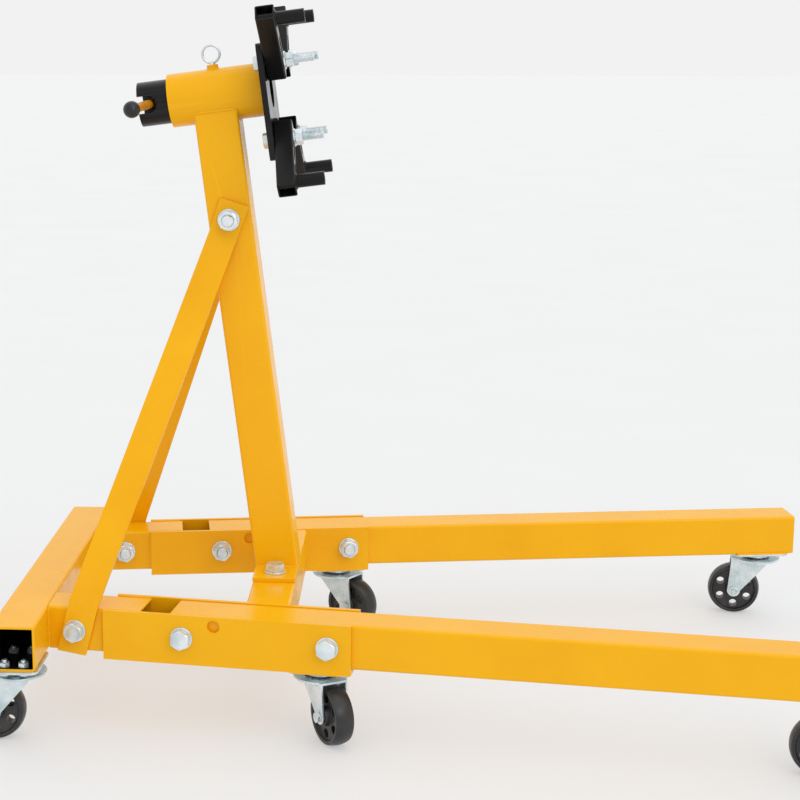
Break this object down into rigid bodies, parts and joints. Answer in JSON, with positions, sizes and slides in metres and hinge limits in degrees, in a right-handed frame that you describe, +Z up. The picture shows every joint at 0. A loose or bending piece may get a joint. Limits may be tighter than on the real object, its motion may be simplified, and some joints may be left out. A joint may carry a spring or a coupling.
{
  "type": "folding engine stand",
  "caption": "Wheeled workshop engine stand: two splayed legs that fold up, a leaning braced post, and a rotating head plate with slotted clamp arms and an eye pin.",
  "frame": {"origin": "on the floor, at the middle of the stand's footprint", "axes": "+X forward along the legs, +Y to the stand's left, +Z up"},
  "size_m": [1.1874, 0.7234, 0.9499],
  "materials": {
    "yellow_paint": "gloss powder coat",
    "black_paint": "gloss powder coat",
    "orange_paint": "gloss",
    "zinc": "bright zinc plate",
    "ball_steel": "polished steel",
    "black_plastic": "moulded, satin",
    "gloss_black_plastic": "gloss"
  },
  "bodies": {
    "frame": {"rear_crossbeam": "yellow_paint", "stub_left": "yellow_paint", "stub_right": "yellow_paint", "channel_left": "yellow_paint", "channel_right": "yellow_paint", "cross_tube": "yellow_paint", "post_foot_plate": "yellow_paint", "post": "yellow_paint", "barrel": "yellow_paint", "brace_left": "yellow_paint", "brace_right": "yellow_paint", "foot_bolts": "zinc", "brace_bolts": "zinc", "leg_pivot_bolts": "zinc", "lock_nuts": "zinc", "rear_caster_bolts": "zinc", "frame_caster_plates": "zinc", "frame_swivel_balls": "ball_steel"},
    "leg_left": {"leg_left": "yellow_paint", "leg_caster_plate_left": "zinc", "leg_swivel_balls_left": "ball_steel"},
    "lock_bolt_left": {"lock_bolt_left": "zinc"},
    "leg_right": {"leg_right": "yellow_paint", "leg_caster_plate_right": "zinc", "leg_swivel_balls_right": "ball_steel"},
    "lock_bolt_right": {"lock_bolt_right": "zinc"},
    "fork_rear_left": {"fork_rear_left": "zinc", "caster_axle_rear_left": "zinc"},
    "wheel_rear_left": {"wheel_rear_left": "black_plastic"},
    "fork_mid_left": {"fork_mid_left": "zinc", "caster_axle_mid_left": "zinc"},
    "wheel_mid_left": {"wheel_mid_left": "black_plastic"},
    "fork_front_left": {"fork_front_left": "zinc", "caster_axle_front_left": "zinc"},
    "wheel_front_left": {"wheel_front_left": "black_plastic"},
    "fork_rear_right": {"fork_rear_right": "zinc", "caster_axle_rear_right": "zinc"},
    "wheel_rear_right": {"wheel_rear_right": "black_plastic"},
    "fork_mid_right": {"fork_mid_right": "zinc", "caster_axle_mid_right": "zinc"},
    "wheel_mid_right": {"wheel_mid_right": "black_plastic"},
    "fork_front_right": {"fork_front_right": "zinc", "caster_axle_front_right": "zinc"},
    "wheel_front_right": {"wheel_front_right": "black_plastic"},
    "head": {"head_plate": "black_paint", "spindle_tube": "black_paint"},
    "turning_bar": {"turning_bar": "orange_paint", "bar_knobs": "gloss_black_plastic"},
    "lock_pin": {"lock_pin": "zinc"},
    "clamp_bolt_upper_left": {"clamp_bolt_upper_left": "zinc"},
    "arm_upper_left": {"arm_upper_left": "black_paint"},
    "clamp_bolt_upper_right": {"clamp_bolt_upper_right": "zinc"},
    "arm_upper_right": {"arm_upper_right": "black_paint"},
    "clamp_bolt_lower_right": {"clamp_bolt_lower_right": "zinc"},
    "arm_lower_right": {"arm_lower_right": "black_paint"},
    "clamp_bolt_lower_left": {"clamp_bolt_lower_left": "zinc"},
    "arm_lower_left": {"arm_lower_left": "black_paint"}
  },
  "joints": [
    {"name": "leg_fold_left", "type": "hinge", "parent": "frame", "child": "leg_left", "pos_m": [-0.30328, 0.20198, 0.135], "axis": [0.1435, -0.9897, 0], "range_deg": [0, 90]},
    {"name": "lock_bolt_slide_left", "type": "slide", "parent": "frame", "child": "lock_bolt_left", "axis": [-0.1435, 0.9897, 0], "range_m": [0, 0.1]},
    {"name": "leg_fold_right", "type": "hinge", "parent": "frame", "child": "leg_right", "pos_m": [-0.30328, -0.20198, 0.135], "axis": [-0.1435, -0.9897, 0], "range_deg": [0, 90]},
    {"name": "lock_bolt_slide_right", "type": "slide", "parent": "frame", "child": "lock_bolt_right", "axis": [-0.1435, -0.9897, 0], "range_m": [0, 0.1]},
    {"name": "swivel_rear_left", "type": "hinge", "parent": "frame", "child": "fork_rear_left", "pos_m": [-0.52169, 0.258, 0.09], "axis": [0, 0, 1], "continuous": true},
    {"name": "spin_rear_left", "type": "hinge", "parent": "fork_rear_left", "child": "wheel_rear_left", "pos_m": [-0.55369, 0.258, 0.04], "axis": [0, 1, 0], "continuous": true},
    {"name": "swivel_mid_left", "type": "hinge", "parent": "frame", "child": "fork_mid_left", "pos_m": [-0.12514, 0.22781, 0.09], "axis": [0, 0, 1], "continuous": true},
    {"name": "spin_mid_left", "type": "hinge", "parent": "fork_mid_left", "child": "wheel_mid_left", "pos_m": [-0.09893, 0.20946, 0.04], "axis": [-0.5736, -0.8192, 0], "continuous": true},
    {"name": "swivel_front_left", "type": "hinge", "parent": "leg_left", "child": "fork_front_left", "pos_m": [0.5399, 0.32424, 0.09], "axis": [0, 0, 1], "continuous": true},
    {"name": "spin_front_left", "type": "hinge", "parent": "fork_front_left", "child": "wheel_front_left", "pos_m": [0.50821, 0.32869, 0.04], "axis": [0.1392, 0.9903, 0], "continuous": true},
    {"name": "swivel_rear_right", "type": "hinge", "parent": "frame", "child": "fork_rear_right", "pos_m": [-0.52169, -0.258, 0.09], "axis": [0, 0, 1], "continuous": true},
    {"name": "spin_rear_right", "type": "hinge", "parent": "fork_rear_right", "child": "wheel_rear_right", "pos_m": [-0.55369, -0.258, 0.04], "axis": [0, 1, 0], "continuous": true},
    {"name": "swivel_mid_right", "type": "hinge", "parent": "frame", "child": "fork_mid_right", "pos_m": [-0.12514, -0.22781, 0.09], "axis": [0, 0, 1], "continuous": true},
    {"name": "spin_mid_right", "type": "hinge", "parent": "fork_mid_right", "child": "wheel_mid_right", "pos_m": [-0.10914, -0.25553, 0.04], "axis": [-0.866, -0.5, 0], "continuous": true},
    {"name": "swivel_front_right", "type": "hinge", "parent": "leg_right", "child": "fork_front_right", "pos_m": [0.5399, -0.32424, 0.09], "axis": [0, 0, 1], "continuous": true},
    {"name": "spin_front_right", "type": "hinge", "parent": "fork_front_right", "child": "wheel_front_right", "pos_m": [0.50821, -0.31979, 0.04], "axis": [0.1392, 0.9903, 0], "continuous": true},
    {"name": "head_spin", "type": "hinge", "parent": "frame", "child": "head", "pos_m": [-0.28135, 0, 0.82963], "axis": [0.992, 0, 0.1262], "continuous": true},
    {"name": "bar_slide", "type": "slide", "parent": "head", "child": "turning_bar", "axis": [0, 1, 0], "range_m": [-0.125, 0.125]},
    {"name": "lock_pin_lift", "type": "slide", "parent": "frame", "child": "lock_pin", "axis": [-0.1262, 0, 0.992], "range_m": [0, 0.045]},
    {"name": "arm_swing_upper_left", "type": "hinge", "parent": "head", "child": "clamp_bolt_upper_left", "pos_m": [-0.21841, 0.05126, 0.87369], "axis": [0.992, 0, 0.1262], "range_deg": [-20, 20]},
    {"name": "arm_slide_upper_left", "type": "slide", "parent": "clamp_bolt_upper_left", "child": "arm_upper_left", "axis": [-0.0892, 0.7071, 0.7015], "range_m": [-0.02, 0.006]},
    {"name": "arm_swing_upper_right", "type": "hinge", "parent": "head", "child": "clamp_bolt_upper_right", "pos_m": [-0.21841, -0.05126, 0.87369], "axis": [0.992, 0, 0.1262], "range_deg": [-20, 20]},
    {"name": "arm_slide_upper_right", "type": "slide", "parent": "clamp_bolt_upper_right", "child": "arm_upper_right", "axis": [-0.0892, -0.7071, 0.7015], "range_m": [-0.02, 0.006]},
    {"name": "arm_swing_lower_right", "type": "hinge", "parent": "head", "child": "clamp_bolt_lower_right", "pos_m": [-0.20547, -0.05126, 0.77198], "axis": [0.992, 0, 0.1262], "range_deg": [-20, 20]},
    {"name": "arm_slide_lower_right", "type": "slide", "parent": "clamp_bolt_lower_right", "child": "arm_lower_right", "axis": [0.0892, -0.7071, -0.7015], "range_m": [-0.02, 0.006]},
    {"name": "arm_swing_lower_left", "type": "hinge", "parent": "head", "child": "clamp_bolt_lower_left", "pos_m": [-0.20547, 0.05126, 0.77198], "axis": [0.992, 0, 0.1262], "range_deg": [-20, 20]},
    {"name": "arm_slide_lower_left", "type": "slide", "parent": "clamp_bolt_lower_left", "child": "arm_lower_left", "axis": [0.0892, 0.7071, -0.7015], "range_m": [-0.02, 0.006]}
  ]
}
